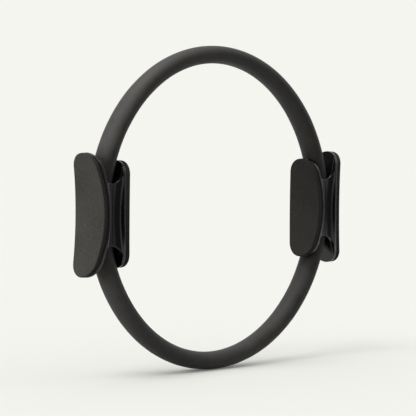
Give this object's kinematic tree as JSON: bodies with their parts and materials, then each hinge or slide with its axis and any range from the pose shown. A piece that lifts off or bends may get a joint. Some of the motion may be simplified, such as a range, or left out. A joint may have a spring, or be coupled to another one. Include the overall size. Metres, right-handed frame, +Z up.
{
  "type": "pilates ring",
  "caption": "Foam-covered spring ring with padded dual-grip handles on opposite sides, squeezed or pressed apart for resistance exercise.",
  "frame": {"origin": "centre of the ring", "axes": "+X to the right handle, +Y along the ring's axis away from the viewer, +Z up as the ring stands in the picture"},
  "size_m": [0.3986, 0.0496, 0.3694],
  "materials": {
    "sleeve_foam": "matte closed-cell foam",
    "palm_foam": "matte fine-grained foam",
    "gloss_shell": "glossy moulded",
    "glass_fibre": "pultruded strip",
    "adhesive": "tacky sheet",
    "steel": "zinc plated"
  },
  "bodies": {
    "ring": {"upper_core_band": "glass_fibre", "lower_core_band": "glass_fibre", "upper_foam_sleeve": "sleeve_foam", "lower_foam_sleeve": "sleeve_foam"},
    "left_handle": {"left_outer_shell": "gloss_shell", "left_inner_shell": "gloss_shell", "left_outer_pad": "palm_foam", "left_inner_pad": "palm_foam", "left_outer_pad_adhesive": "adhesive", "left_inner_pad_adhesive": "adhesive", "left_splice_plate": "steel", "left_splice_rivets": "steel", "left_shell_screws": "steel"},
    "right_handle": {"right_outer_shell": "gloss_shell", "right_inner_shell": "gloss_shell", "right_outer_pad": "palm_foam", "right_inner_pad": "palm_foam", "right_outer_pad_adhesive": "adhesive", "right_inner_pad_adhesive": "adhesive", "right_splice_plate": "steel", "right_splice_rivets": "steel", "right_shell_screws": "steel"}
  },
  "joints": [
    {"name": "left_squeeze", "type": "slide", "parent": "ring", "child": "left_handle", "axis": [1, 0, 0], "range_m": [-0.012, 0.035], "stiffness_N_per_m": 3600, "deforming": ["upper_core_band", "lower_core_band", "upper_foam_sleeve", "lower_foam_sleeve"]},
    {"name": "right_squeeze", "type": "slide", "parent": "ring", "child": "right_handle", "axis": [-1, 0, 0], "range_m": [-0.012, 0.035], "stiffness_N_per_m": 3600, "deforming": ["upper_core_band", "lower_core_band", "upper_foam_sleeve", "lower_foam_sleeve"]}
  ],
  "couplings": [
    {"joint": "right_squeeze", "follows": "left_squeeze", "ratio": 1}
  ]
}
